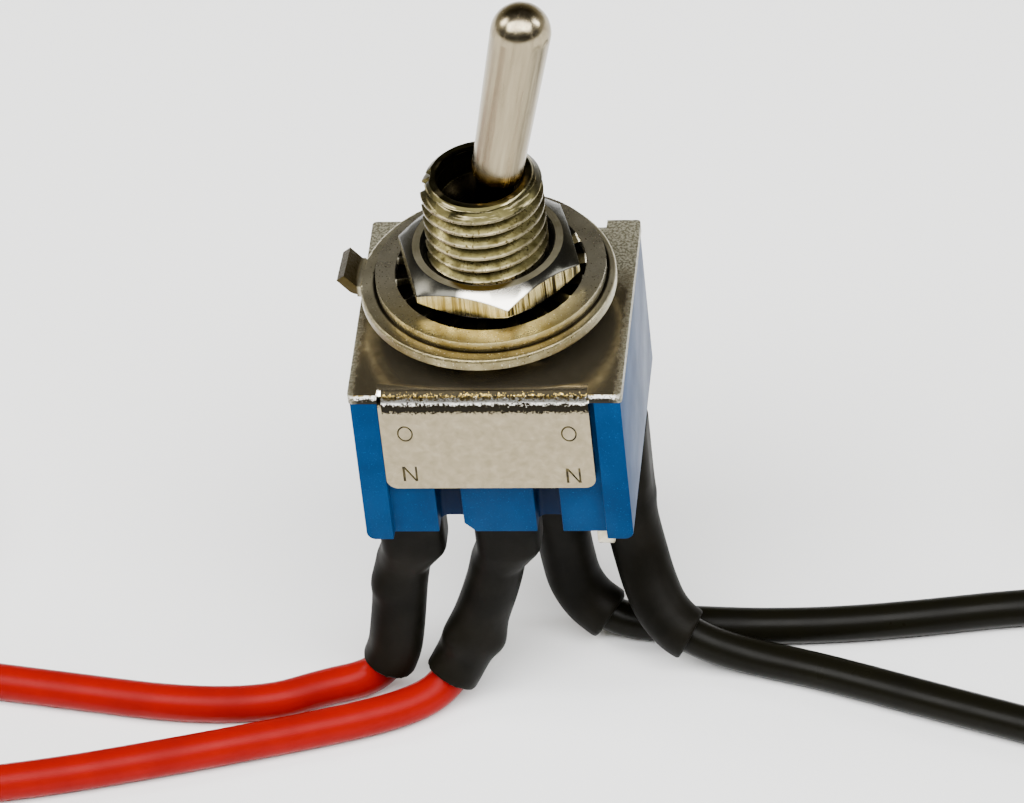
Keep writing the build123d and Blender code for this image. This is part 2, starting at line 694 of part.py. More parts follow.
def stripped_tip(spec, turns, ring):
    """The bare tinned end of a lead, turned out of its coil."""
    point, direction = on_coil(spec, turns)
    outward = direction.rotate(Axis.Z, -heading_angle(spec) * COIL_EXIT)
    bare = extrude(Plane(point, z_dir=outward) * Circle(CORE_DIAMETER / 2), STRIPPED_LENGTH)
    return bare - ring


def tie(spec, turns):
    """A band round the turns of a coil."""
    x, y = coil_centre(spec)
    height = coil_height(turns)
    width = WIRE_DIAMETER + 2 * RUNNING
    outside = RectangleRounded(width + 2 * TIE_THICKNESS, height + TIE_THICKNESS, 2 * TIE_THICKNESS)
    inside = RectangleRounded(width, height - TIE_THICKNESS, TIE_THICKNESS)
    band = extrude(Plane.XZ * (outside - inside), TIE_WIDTH / 2, both=True)
    turn = -90 * spec["coil_side"] + heading_angle(spec) * TIE_TURN
    placed = Rot(0, 0, turn) * Pos(COIL_RADIUS, 0, (height + TIE_THICKNESS) / 2) * band
    return Pos(x, y, REST_LEVEL) * placed


# ---- All the pieces ----


def pieces():
    made = {
        "housing": housing(),
        "bracket": bracket(),
        "bushing": bushing(),
        "lever": lever(),
        "actuator_block": actuator_block(),
        "lower_nut": nut(LOWER_NUT_HEIGHT, 0, LOWER_NUT_TURN),
        "locating_ring": locating_ring(),
        "lock_washer": lock_washer(),
        "upper_nut": nut(UPPER_NUT_HEIGHT, upper_nut_bottom, UPPER_NUT_TURN),
    }
    for side, row in (("front", -1), ("back", 1)):
        made[f"plunger_{side}"] = plunger(row)
        made[f"plunger_spring_{side}"] = spring(row)
        made[f"rocker_{side}"] = rocker(row)
        for place, column in (("left", -1), ("middle", 0), ("right", 1)):
            made[f"terminal_{side}_{place}"] = terminal(column, row)
    ties = []
    for name, spec in LEADS.items():
        solid, length = lead(name)
        turns = coil_turns(length)
        band = tie(spec, turns)
        ring = coil(spec, turns, band)
        made[f"lead_{name}"] = solid
        made[f"sleeve_{name}"] = sleeve(name, solid)
        made[f"solder_joint_{name}"] = solder_joint(spec, solid)
        made[f"coil_{name}"] = ring
        made[f"stripped_tip_{name}"] = stripped_tip(spec, turns, ring)
        ties.append(band)
        print(f"  coil of {turns:.2f} turns")
    made["coil_ties"] = Compound(children=ties)
    return made


if __name__ == "__main__":
    os.makedirs("parts", exist_ok=True)
    for node, shape in pieces().items():
        export_step(shape, f"parts/{node}.step")
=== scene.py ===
import json
import math

import bpy
from mathutils import Matrix, Vector

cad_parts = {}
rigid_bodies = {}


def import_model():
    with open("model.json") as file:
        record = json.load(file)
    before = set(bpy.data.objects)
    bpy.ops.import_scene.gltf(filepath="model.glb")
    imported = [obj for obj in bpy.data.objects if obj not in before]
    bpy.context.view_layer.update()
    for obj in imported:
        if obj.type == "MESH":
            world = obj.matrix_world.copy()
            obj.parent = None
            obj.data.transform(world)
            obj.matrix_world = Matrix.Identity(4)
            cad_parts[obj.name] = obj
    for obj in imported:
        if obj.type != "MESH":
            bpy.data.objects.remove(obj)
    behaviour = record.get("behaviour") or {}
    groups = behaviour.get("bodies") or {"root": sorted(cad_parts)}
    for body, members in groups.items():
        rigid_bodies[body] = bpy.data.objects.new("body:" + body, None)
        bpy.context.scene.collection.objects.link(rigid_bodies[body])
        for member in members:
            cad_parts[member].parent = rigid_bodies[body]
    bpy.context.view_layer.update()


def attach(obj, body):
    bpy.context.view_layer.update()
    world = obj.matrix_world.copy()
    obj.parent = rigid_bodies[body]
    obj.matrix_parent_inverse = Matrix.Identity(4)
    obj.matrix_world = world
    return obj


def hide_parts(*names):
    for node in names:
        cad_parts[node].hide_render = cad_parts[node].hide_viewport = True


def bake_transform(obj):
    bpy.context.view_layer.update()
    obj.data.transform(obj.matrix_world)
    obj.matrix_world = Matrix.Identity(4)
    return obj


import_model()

# Metres in a millimetre: the part's sizes are in millimetres and turned to metres where they are used.
MM = 0.001


# ---- Camera, table and light ----
# The part stands on a white table, seen from the front and above with a long lens.
# The room round it is dim, so the plated top stays darker than the faces that look at the table.

REST_LEVEL = -23.35 * MM

bpy.ops.object.camera_add(
    location=(48.250 * MM, -290.761 * MM, 257.458 * MM),
    rotation=(math.radians(47.998), math.radians(4.871), math.radians(4.994)),
)
camera = bpy.context.object
camera.name = "camera"
camera.data.sensor_width = 36
camera.data.lens = 284.69
camera.data.clip_start = 0.01
bpy.context.scene.camera = camera


def linear(hex_colour):
    """An sRGB hex colour as the linear RGBA that a shader takes."""
    parts = [int(hex_colour[i:i + 2], 16) / 255 for i in (1, 3, 5)]
    return tuple(c / 12.92 if c <= 0.04045 else ((c + 0.055) / 1.055) ** 2.4 for c in parts) + (1.0,)


def fit(tree, node, settings):
    """Gives a node its settings and links, by the names of its inputs and properties.

    A hex colour is turned to linear, stops are a colour ramp's (position, grey or hex colour) pairs, and
    an output, or a node for its first output in use, is linked.
    """
    for key, value in settings.items():
        if isinstance(value, bpy.types.Node):
            value = next(output for output in value.outputs if output.enabled)
        if isinstance(value, bpy.types.NodeSocket):
            tree.links.new(value, node.inputs[key])
        elif key == "stops":
            elements = node.color_ramp.elements
            while len(elements) < len(value):
                elements.new(0.5)
            for element, (position, tone) in zip(elements, value):
                element.position = position
                element.color = linear(tone) if isinstance(tone, str) else (tone, tone, tone, 1.0)
        elif isinstance(key, int) or key in node.inputs:
            node.inputs[key].default_value = linear(value) if isinstance(value, str) else value
        else:
            setattr(node, key, value)
    return node


def add(tree, kind, settings):
    """Adds a shader node of a kind, with its settings and links."""
    return fit(tree, tree.nodes.new(f"ShaderNode{kind}"), settings)


def material(name, settings):
    """A material with one Principled shader, its node tree, and the object's own coordinates."""
    made = bpy.data.materials.new(name)
    made.use_nodes = True
    tree = made.node_tree
    shader = fit(tree, tree.nodes["Principled BSDF"], settings)
    place = add(tree, "TexCoord", {}).outputs["Object"]
    return made, tree, shader, place


# Matt laminate: an even white that shows the part's shadow and hardly any reflection.
white_laminate = material(
    "white_table_laminate", {"Base Color": "#F4F4F3", "Roughness": 0.75, "Specular IOR Level": 0.2}
)[0]
bpy.ops.mesh.primitive_plane_add(size=4, location=(0, 0, REST_LEVEL))
table = bpy.context.object
table.name = "table"
table.data.materials.append(white_laminate)


def softbox(name, place_mm, aim_mm, size, power, colour="#FFFFFF"):
    """A rectangular area light, its size in metres, that looks at a point of the part."""
    bpy.ops.object.light_add(type="AREA", location=[v * MM for v in place_mm])
    lamp = bpy.context.object
    lamp.name = name
    lamp.data.shape = "RECTANGLE"
    lamp.data.size = size[0]
    lamp.data.size_y = size[1]
    lamp.data.energy = power
    lamp.data.color = linear(colour)[:3]
    aim = Vector([v * MM for v in aim_mm]) - lamp.location
    lamp.rotation_euler = aim.to_track_quat("-Z", "Y").to_euler()


softbox("wide_softbox", (0, -350, 660), (0, 0, 0), (1.4, 0.46), 25.0)
softbox("left_softbox", (-640, 60, 480), (0, 0, -5), (0.2, 0.3), 3.5, "#FFFDF8")
softbox("right_softbox", (680, 120, 420), (0, 0, -5), (0.2, 0.3), 3.0, "#FBFDFF")

# The room by direction: pale low down, then olive and dim higher up, and darker in front than behind.
FRONT_WALL = [
    (0.0, "#8C8A84"), (0.12, "#3A3832"), (0.4, "#242320"),
    (0.7, "#242320"), (0.9, "#3A3832"), (1.0, "#3A362A"),
]
BACK_WALL = [
    (0.0, "#F2EFE8"), (0.2, "#BDB69C"), (0.45, "#5E5539"),
    (0.62, "#332C18"), (0.8, "#2A2516"), (1.0, "#3A362A"),
]
world = bpy.data.worlds.new("studio_room")
bpy.context.scene.world = world
world.use_nodes = True
sky = world.node_tree
direction = add(sky, "SeparateXYZ", {0: add(sky, "TexCoord", {}).outputs["Generated"]})
walls = []
for stops in (FRONT_WALL, BACK_WALL):
    wall = add(sky, "ValToRGB", {"Fac": direction.outputs["Z"], "stops": stops})
    wall.color_ramp.interpolation = "EASE"
    walls.append(wall)
turned = add(sky, "MapRange", {"Value": direction.outputs["Y"], "From Min": -0.25, "From Max": 0.2})
room = add(sky, "Mix", {"data_type": "RGBA", "Factor": turned, 6: walls[0], 7: walls[1]})
fit(sky, sky.nodes["Background"], {"Color": room, "Strength": 0.9})


# ---- Leads ----
# Four stranded hook-up wires in soft vinyl, red for one pole and black for the other.
# Each is soldered to a lug, runs down to the table and off to its side, and is wound up out of view.

WIRE_DIAMETER = 1.85 * MM
STRIPPED_LENGTH = 5 * MM
COIL_RADIUS = 10.6 * MM
COIL_PITCH = 1.9 * MM
COIL_EXIT = math.radians(50)
POINTS_PER_TURN = 16
TAIL = 1.5
FLOOR = (REST_LEVEL + WIRE_DIAMETER / 2) / MM

LEADS = {
    "front_left": dict(
        side=1,
        turns=1.50,
        route=[
            (-5.35, -2.4, -13.35), (-5.85, -2.4, -15.6), (-6.2, -2.4, -18.2), (-6.55, -2.42, -20.3),
            (-7.1, -2.5, -21.6), (-8.2, -2.65, FLOOR), (-10.2, -3.25, FLOOR), (-12.9, -4.45, FLOOR),
            (-17.2, -4.55, FLOOR), (-23.0, -3.55, FLOOR), (-32.0, -1.95, FLOOR), (-43.0, -1.95, FLOOR),
        ],
    ),
    "front_middle": dict(
        side=-1,
        turns=1.43,
        route=[
            (-0.65, -2.4, -13.35), (-1.1, -2.4, -15.4), (-1.75, -2.42, -17.4), (-2.6, -2.55, -19.5),
            (-3.35, -2.8, -21.0), (-4.0, -3.25, -22.0), (-4.95, -4.05, FLOOR), (-6.9, -5.15, FLOOR),
            (-10.4, -6.3, FLOOR), (-17.0, -8.1, FLOOR), (-24.5, -9.95, FLOOR), (-33.5, -11.2, FLOOR),
            (-43.0, -11.2, FLOOR),
        ],
    ),
    "back_middle": dict(
        side=1,
        turns=1.51,
        route=[
            (0.65, 2.4, -13.35), (1.6, 2.4, -15.6), (1.8, 2.4, -18.4), (2.05, 2.2, -20.1),
            (2.75, 1.85, -21.3), (3.9, 1.5, -22.05), (5.3, 1.38, FLOOR), (7.6, 1.3, FLOOR),
            (11.6, 1.05, FLOOR), (17.0, 1.3, FLOOR), (26.5, 2.8, FLOOR), (38.5, 2.8, FLOOR),
        ],
    ),
    "back_right": dict(
        side=-1,
        turns=1.52,
        route=[
            (5.35, 2.4, -13.35), (5.15, 2.4, -15.6), (5.5, 2.0, -17.6), (5.95, 1.1, -19.1),
            (6.55, 0.15, -20.2), (7.45, -0.6, -20.95), (9.0, -1.0, -21.7), (11.0, -1.1, FLOOR),
            (14.6, -2.15, FLOOR), (21.0, -4.55, FLOOR), (29.5, -7.6, FLOOR), (40.5, -7.6, FLOOR),
        ],
    ),
}


def deselect_all():
    """Leaves edit mode and deselects every object."""
    if bpy.context.object and bpy.context.object.mode != "OBJECT":
        bpy.ops.object.mode_set(mode="OBJECT")
    bpy.ops.object.select_all(action="DESELECT")


def vinyl(name, colour, shade, gloss):
    """Extruded soft vinyl insulation: an even colour, slightly uneven gloss, and a faint ripple."""
    made, tree, shader, place = material(
        name, {"Base Color": colour, "Roughness": gloss, "IOR": 1.53, "Specular IOR Level": 0.06}
    )
    # Cloudy patches 2 mm across, from handling, and a ripple of the skin 0.25 mm across.
    clouds = add(tree, "TexNoise", {"Vector": place, "Scale": 0.5 / MM, "Detail": 3.0})
    ripple = add(tree, "TexNoise", {"Vector": place, "Scale": 4 / MM, "Detail": 2.0})
    gloss_stops = [(0.3, gloss + 0.08), (0.7, gloss - 0.05)]
    fit(tree, shader, {
        "Base Color": add(tree, "ValToRGB", {"Fac": clouds, "stops": [(0.3, shade), (0.7, colour)]}),
        "Roughness": add(tree, "ValToRGB", {"Fac": clouds, "stops": gloss_stops}),
        "Normal": add(tree, "Bump", {"Height": ripple, "Strength": 0.12, "Distance": 0.02 * MM}),
    })
    return made


red_vinyl = vinyl("red_vinyl_insulation", "#850202", "#780202", 0.38)
black_vinyl = vinyl("black_vinyl_insulation", "#0E0D07", "#0A0905", 0.32)


def wound_points(route, side, turns):
    """The control points of a coil's turns, and the way out of it, after the route's last point."""
    end = Vector(route[-1]) * MM
    centre = end + Vector((0, side * COIL_RADIUS, 0))
    way = side if end.x > 0 else -side
    corner = COIL_RADIUS / math.cos(math.pi / POINTS_PER_TURN)
    points = []
    for k in range(round(turns * POINTS_PER_TURN)):
        turned = (k + 0.5) / POINTS_PER_TURN
        angle = math.radians(-90 * side + way * 360 * turned)
        rise = COIL_PITCH * turned
        points.append(centre + Vector((corner * math.cos(angle), corner * math.sin(angle), rise)))
    angle = math.radians(-90 * side + way * 360 * turns)
    last = centre + Vector(
        (COIL_RADIUS * math.cos(angle), COIL_RADIUS * math.sin(angle), COIL_PITCH * turns)
    )
    out = Vector((-way * math.sin(angle), way * math.cos(angle), 0))
    out.rotate(Matrix.Rotation(-way * COIL_EXIT, 3, "Z"))
    return points, last, out


def lead(name):
    """A lead as one smooth spline through its route and its coil."""
    spec = LEADS[name]
    turns, last, out = wound_points(spec["route"], spec["side"], spec["turns"])
    points = [Vector(p) * MM for p in spec["route"][:-1]] + turns + [last + out * TAIL * MM]
    curve = bpy.data.curves.new(f"lead_wire_{name}", "CURVE")
    curve.dimensions = "3D"
    curve.resolution_u = 6
    curve.bevel_depth = WIRE_DIAMETER / 2
    curve.bevel_resolution = 5
    curve.use_fill_caps = True
    spline = curve.splines.new("NURBS")
    spline.points.add(len(points) - 1)
    for target, point in zip(spline.points, points):
        target.co = (*point, 1.0)
    spline.order_u = 3
    spline.use_endpoint_u = True
    wire = bpy.data.objects.new(f"lead_wire_{name}", curve)
    bpy.context.collection.objects.link(wire)
    red = name.startswith("front")
    curve.materials.append(red_vinyl if red else black_vinyl)
    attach(wire, "switch")
    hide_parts(f"lead_{name}", f"coil_{name}")


for lead_name in LEADS:
    lead(lead_name)


# ---- Stripped ends and ties ----
# Each lead ends in 5 mm of bare conductor: seven tinned copper strands, twisted by hand.
# A band of black vinyl tape holds each coil together.

STRANDS = 7
STRAND_DIAMETER = 0.32
STRAND_CIRCLE = 0.29
STRAND_LAY = 4.2

# Tin gives the strands a soft grey shine. It lies in uneven patches 0.4 mm across, and copper warms the
# thin ones.
tinned_copper, tree, shader, place = material(
    "tinned_copper_strand", {"Base Color": "#B5B0A4", "Metallic": 1.0, "Roughness": 0.3}
)
thin = add(tree, "TexNoise", {"Vector": place, "Scale": 2.5 / MM, "Detail": 3.0})
tin_stops = [(0.3, "#A08C74"), (0.5, "#B8B4AA"), (0.75, "#D2D0CA")]
fit(tree, shader, {
    "Base Color": add(tree, "ValToRGB", {"Fac": thin, "stops": tin_stops}),
    "Roughness": add(tree, "ValToRGB", {"Fac": thin, "stops": [(0.3, 0.42), (0.7, 0.24)]}),
})

# Calendered tape: a black skin with a fine leather grain, 0.2 mm across, and a slightly dusty face.
vinyl_tape, tree, shader, place = material(
    "black_vinyl_tape", {"Base Color": "#141412", "Roughness": 0.45, "IOR": 1.53, "Specular IOR Level": 0.3}
)
leather = add(tree, "TexVoronoi", {"feature": "SMOOTH_F1", "Vector": place, "Scale": 5 / MM})
dust = add(tree, "TexNoise", {"Vector": place, "Scale": 0.7 / MM, "Detail": 3.0})
fit(tree, shader, {
    "Base Color": add(tree, "ValToRGB", {"Fac": dust, "stops": [(0.35, "#10100E"), (0.7, "#22211E")]}),
    "Normal": add(tree, "Bump", {"Height": leather, "Strength": 0.2, "Distance": 0.02 * MM}),
})


def join_into(first, others):
    """Joins pieces into the first one and puts its place into its mesh."""
    deselect_all()
    for other in [first, *others]:
        other.select_set(True)
    bpy.context.view_layer.objects.active = first
    bpy.ops.object.join()
    bpy.ops.object.transform_apply(location=True, rotation=True, scale=True)
    return first


def apply_modifier(piece, kind, settings):
    """Adds a modifier with its settings and applies it."""
    deselect_all()
    piece.select_set(True)
    bpy.context.view_layer.objects.active = piece
    modifier = piece.modifiers.new(kind.lower(), kind)
    for key, value in settings.items():
        setattr(modifier, key, value)
    bpy.ops.object.modifier_apply(modifier=modifier.name)


def close_ends():
    """Fills the open ends of the active piece and points its faces outwards."""
    bpy.ops.object.mode_set(mode="EDIT")
    bpy.ops.mesh.select_all(action="SELECT")
    bpy.ops.mesh.fill_holes(sides=0)
    bpy.ops.mesh.select_all(action="SELECT")
    bpy.ops.mesh.normals_make_consistent(inside=False)
    bpy.ops.object.mode_set(mode="OBJECT")


def stripped_end(name):
    """Seven strands swept round the lead's axis by a screw, then laid on along the lead's way out."""
    spec = LEADS[name]
    turns, last, out = wound_points(spec["route"], spec["side"], spec["turns"])
    deselect_all()
    strands = []
    for k in range(STRANDS):
        # The last strand is the core, and the others lie round it.
        around = math.radians(360 / (STRANDS - 1) * k)
        far = 0 if k == STRANDS - 1 else STRAND_CIRCLE
        bpy.ops.mesh.primitive_circle_add(
            vertices=10,
            radius=STRAND_DIAMETER / 2 * MM,
            location=(far * math.cos(around) * MM, far * math.sin(around) * MM, 0),
        )
        strands.append(bpy.context.object)
    end = join_into(strands[0], strands[1:])
    end.name = f"stranded_end_{name}"
    length = STRIPPED_LENGTH - TAIL * MM
    apply_modifier(
        end,
        "SCREW",
        {
            "axis": "Z",
            "angle": 2 * math.pi * length / (STRAND_LAY * MM),
            "screw_offset": length,
            "steps": 18,
            "render_steps": 18,
        },
    )
    close_ends()
    end.rotation_euler = out.to_track_quat("Z", "Y").to_euler()
    end.location = last + out * TAIL * MM
    bpy.ops.object.transform_apply(location=True, rotation=True, scale=True)
    bpy.ops.object.shade_smooth_by_angle(angle=math.radians(40))
    end.data.materials.append(tinned_copper)
    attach(end, "switch")
    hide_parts(f"stripped_tip_{name}")


def dress_node(node, finish):
    """Gives a CAD node a finish in each of its material slots."""
    for material_slot in bpy.data.objects[node].material_slots:
        material_slot.material = finish


for lead_name in LEADS:
    stripped_end(lead_name)
dress_node("coil_ties", vinyl_tape)


# ---- Housing ----
# The switch's body is one moulding in blue thermoset, open at the top for the contacts.
# It leaves the tool with a fine satin skin; its corners are slightly worn and its core-outs stay sharp.

CORE_OUT_HALF_WIDTH = 3.12
CORE_OUT_FLOOR = 5.72
END_FACE = 6.4


def cad_copy(node, piece_name):
    """A merged copy of a CAD node's mesh as a new piece, with its flat faces made whole."""
    deselect_all()
    source = bpy.data.objects[node]
    piece = source.copy()
    piece.data = source.data.copy()
    piece.name = piece_name
    piece.data.name = piece_name
    piece.data.materials.clear()
    for key in list(piece.keys()):
        del piece[key]
    bpy.context.collection.objects.link(piece)
    piece.hide_render = False
    piece.hide_viewport = False
    piece.select_set(True)
    bpy.context.view_layer.objects.active = piece
    bpy.ops.object.mode_set(mode="EDIT")
    bpy.ops.mesh.select_all(action="SELECT")
    bpy.ops.mesh.remove_doubles(threshold=0.002 * MM)
    bpy.ops.mesh.dissolve_limited(angle_limit=math.radians(0.5))
    bpy.ops.object.mode_set(mode="OBJECT")
    if piece.data.has_custom_normals:
        bpy.ops.mesh.customdata_custom_splitnormals_clear()
    return piece


def break_edges(piece, width, segments=2, angle=28):
    """Rounds a piece's sharp edges by a bevel's width, in millimetres, and smooths its shading."""
    apply_modifier(
        piece,
        "BEVEL",
        {
            "width": width * MM,
            "segments": segments,
            "limit_method": "ANGLE",
            "angle_limit": math.radians(angle),
            "use_clamp_overlap": True,
        },
    )
    bpy.ops.object.shade_smooth_by_angle(angle=math.radians(angle))


def level_faces(piece):
    """Shades a piece's large flat faces flat, right up to their broken edges."""
    apply_modifier(piece, "WEIGHTED_NORMAL", {"keep_sharp": True, "weight": 90})


def finish_piece(piece, body, nodes, slot_name, *finishes):
    """Gives a piece its finishes and its body, and hides the CAD nodes that it stands for; its slot name is
    not used.
    """
    if finishes:
        piece.data.materials.clear()
        for finish in finishes:
            piece.data.materials.append(finish)
    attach(piece, body)
    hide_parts(*nodes)


def speckle(tree, place, grain_mm, low, high):
    """Random light dots of a grain's size, from 0 to 1."""
    scale = 1 / (grain_mm * MM)
    noise = add(tree, "TexNoise", {"Vector": place, "Scale": scale, "Detail": 1.0, "Roughness": 0.6})
    return add(tree, "ValToRGB", {"Fac": noise, "stops": [(low, 0.0), (high, 1.0)]})


def layered(tree, base, coats):
    """A colour with others laid over it in turn, each where its mask shows."""
    for mask, colour in coats:
        base = add(tree, "Mix", {"data_type": "RGBA", "Factor": mask, 6: base, 7: colour})
    return base


# Filled resin: a slight cloudiness, 3 mm across, with fine pale specks of filler 0.06 mm across, under the
# satin skin of the mould, 0.09 mm grain.
blue_moulding, tree, shader, place = material(
    "blue_thermoset_moulding",
    {"Base Color": "#003562", "Roughness": 0.42, "IOR": 1.56, "Specular IOR Level": 0.02},
)
clouds = add(tree, "TexNoise", {"Vector": place, "Scale": 0.35 / MM, "Detail": 4.0})
resin = add(tree, "ValToRGB", {"Fac": clouds, "stops": [(0.35, "#002A50"), (0.65, "#00325C")]})
specks = speckle(tree, place, 0.06, 0.68, 0.75)
skin = add(tree, "TexNoise", {"Vector": place, "Scale": 11 / MM, "Detail": 3.0})
# The two core-outs below each flange are painted a duller, darker colour than the faces around them, as
# painted shade in the recesses.
axes = add(tree, "SeparateXYZ", {0: place})
core_out_shade = []
for axis_name, edge, blur in (("X", CORE_OUT_HALF_WIDTH, 0.05), ("Y", CORE_OUT_FLOOR, 0.1)):
    distance = add(tree, "Math", {"operation": "ABSOLUTE", 0: axes.outputs[axis_name]})
    core_out_shade.append(
        add(tree, "MapRange", {"Value": distance, "From Min": edge * MM, "From Max": (edge - blur) * MM})
    )
core_out_shade = add(tree, "Math", {"operation": "MULTIPLY", 0: core_out_shade[0], 1: core_out_shade[1]})
fit(tree, shader, {
    "Base Color": layered(tree, resin, [(specks, "#0A4C80"), (core_out_shade, "#001430")]),
    "Roughness": add(tree, "ValToRGB", {"Fac": clouds, "stops": [(0.3, 0.48), (0.7, 0.36)]}),
    "Normal": add(tree, "Bump", {"Height": skin, "Strength": 0.25, "Distance": 0.008 * MM}),
})

# The two plain ends come off a polished part of the mould, so they are glossier than the rest.
glossy_moulding = blue_moulding.copy()
glossy_moulding.name = "blue_thermoset_moulding_glossy"
glossy_moulding.node_tree.nodes[shader.name].inputs["Specular IOR Level"].default_value = 0.12

housing = cad_copy("housing", "moulded_housing")
break_edges(housing, 0.07)
housing.data.materials.append(blue_moulding)
housing.data.materials.append(glossy_moulding)
for face in housing.data.polygons:
    face.material_index = 1 if abs(face.normal.x) > 0.95 and abs(face.center.x) > END_FACE * MM else 0
finish_piece(housing, "switch", ["housing"], "blue_plastic")


# ---- Bracket ----
# One stamping of thin steel sheet, bent down over the front and back of the housing and nickel plated.
# The bends and sheared edges are grained by the press and painted with bands of highlight and shade; each
# switch position is stamped ON into the front.

FLANGE_FACE = -6.35
FLANGE_HALF_WIDTH = 5.02
PLATE_UNDERSIDE, PLATE_TOP = -0.95, -0.6
RIM_STARTS, RIM_ENDS = 5.9, 6.8
REAR_RIM_ENDS = 3.5
BEND_FOOT, BEND_TOP = -0.83, 0.37
SIDE_RISE = 0.38
CRUMB_SPREAD = 0.8
STROKE = 0.05
LETTER_RADIUS = 0.44


def facing(tree, axis_name):
    """How far a face looks along one of the object's axes, from -1 to 1."""
    normal = add(tree, "TexCoord", {}).outputs["Normal"]
    return add(tree, "SeparateXYZ", {0: normal}).outputs[axis_name]


# Dull nickel: a mottled plating, 0.45 mm patches, that turns matte and grained towards the plate's rim.
plated_sheet, tree, shader, place = material(
    "dull_nickel_on_steel_sheet", {"Base Color": "#CDC3AD", "Metallic": 1.0, "Roughness": 0.3}
)
patches = add(tree, "TexNoise", {"Vector": place, "Scale": 2.2 / MM, "Detail": 5.0, "Distortion": 0.4})
plating_stops = [(0.3, "#857A61"), (0.55, "#92876E"), (0.75, "#9E937A")]
plating = add(tree, "ValToRGB", {"Fac": patches, "stops": plating_stops})
polish = add(tree, "ValToRGB", {"Fac": patches, "stops": [(0.3, 0.24), (0.7, 0.18)]})
# The rim runs along the sides and the back of the plate's top, and its border is ragged.
axes = add(tree, "SeparateXYZ", {0: place})
sideways = add(tree, "Math", {"operation": "ABSOLUTE", 0: axes.outputs["X"]})
masks = []
for source, low, high in (
    (sideways, RIM_STARTS, RIM_ENDS),
    (axes.outputs["Y"], 0.0, REAR_RIM_ENDS),
    (axes.outputs["Z"], PLATE_UNDERSIDE, PLATE_TOP),
):
    masks.append(add(tree, "MapRange", {"Value": source, "From Min": low * MM, "From Max": high * MM}))
beside_edge, rearward, on_top = masks
ragged = add(tree, "TexNoise", {"Vector": place, "Scale": 2.5 / MM, "Detail": 3.0})
rim = add(tree, "Math", {"operation": "MAXIMUM", 0: beside_edge, 1: rearward})
rim = add(tree, "Math", {"operation": "MULTIPLY", 0: rim, 1: on_top})
rim = add(tree, "Math", {"operation": "MULTIPLY_ADD", 0: rim, 1: 1.6, 2: -0.8})
rim = add(tree, "Math", {"operation": "ADD", "use_clamp": True, 0: rim, 1: ragged})
rim = add(tree, "ValToRGB", {"Fac": rim, "stops": [(0.2, 0.0), (1.0, 1.0)]})
chips = speckle(tree, place, 0.13, 0.42, 0.6)
matte = layered(tree, "#6C6856", [(chips, "#A5A18D")])
# Round the bend, crumbs of noise 0.125 mm across break four painted bands of light and shade: a painted
# dark reflection, crazed, above the flange, then a painted highlight line, a painted gilt glint line and a
# painted dark band. The sheared edges beside the flange get the same painted bands higher up.
beside = add(tree, "Math", {"operation": "GREATER_THAN", 0: sideways, 1: FLANGE_HALF_WIDTH * MM})
steep = add(tree, "MapRange", {"Value": facing(tree, "Z"), "From Min": 0.94, "From Max": 0.89})
crumbs = add(tree, "TexNoise", {"Vector": place, "Scale": 8 / MM, "Detail": 2.0, "Roughness": 0.8})
height = axes.outputs["Z"]
height = add(tree, "Math", {"operation": "MULTIPLY_ADD", 0: beside, 1: -SIDE_RISE * MM, 2: height})
height = add(tree, "Math", {"operation": "MULTIPLY_ADD", 0: crumbs, 1: CRUMB_SPREAD * MM, 2: height})
height = add(tree, "MapRange", {"Value": height, "From Min": BEND_FOOT * MM, "From Max": BEND_TOP * MM})
painted_bend_light = []
for colour, stops in (
    ("#19150B", [(0.74, 0.0), (0.8, 1.0)]),
    ("#8A7434", [(0.66, 0.0), (0.7, 1.0), (0.76, 1.0), (0.8, 0.0)]),
    ("#17140C", [(0.04, 0.0), (0.09, 1.0), (0.48, 1.0), (0.53, 0.0)]),
    ("#FFFDF6", [(0.5, 0.0), (0.54, 1.0), (0.66, 1.0), (0.7, 0.0)]),
):
    band = add(tree, "ValToRGB", {"Fac": height, "stops": stops})
    painted_bend_light.append((add(tree, "Math", {"operation": "MULTIPLY", 0: band, 1: steep}), colour))
grain = add(tree, "TexNoise", {"Vector": place, "Scale": 9 / MM, "Detail": 2.0, "Roughness": 0.7})
relief = add(tree, "Bump", {"Height": grain, "Strength": rim, "Distance": 0.03 * MM})
relief = add(tree, "Bump", {"Height": patches, "Normal": relief, "Strength": 0.07, "Distance": 0.04 * MM})
fit(tree, shader, {
    "Base Color": layered(tree, plating, [*painted_bend_light, (rim, matte)]),
    "Metallic": add(tree, "ValToRGB", {"Fac": rim, "stops": [(0.0, 0.94), (1.0, 0.7)]}),
    "Roughness": layered(tree, polish, [(rim, (0.46, 0.46, 0.46, 1))]),
    "Normal": relief,
})

# Dirt and shade gather in the stamped strokes, unevenly along them, in 0.25 mm patches.
stamped_groove, tree, shader, place = material(
    "stamped_groove_in_plating", {"Base Color": "#5E5434", "Metallic": 0.7, "Roughness": 0.55}
)
dirt = add(tree, "TexNoise", {"Vector": place, "Scale": 4 / MM, "Detail": 2.0})
fit(tree, shader, {
    "Base Color": add(tree, "ValToRGB", {"Fac": dirt, "stops": [(0.35, "#1E190B"), (0.7, "#5E5434")]}),
})


def rod(name, place_mm, length, angle, radius):
    """A round bar in the flange's face, turned by an angle from upright."""
    deselect_all()
    bpy.ops.mesh.primitive_cylinder_add(
        vertices=12,
        radius=radius * MM,
        depth=length * MM,
        location=[v * MM for v in place_mm],
        rotation=(0, math.radians(angle), 0),
    )
    bar = bpy.context.object
    bar.name = name
    return bar


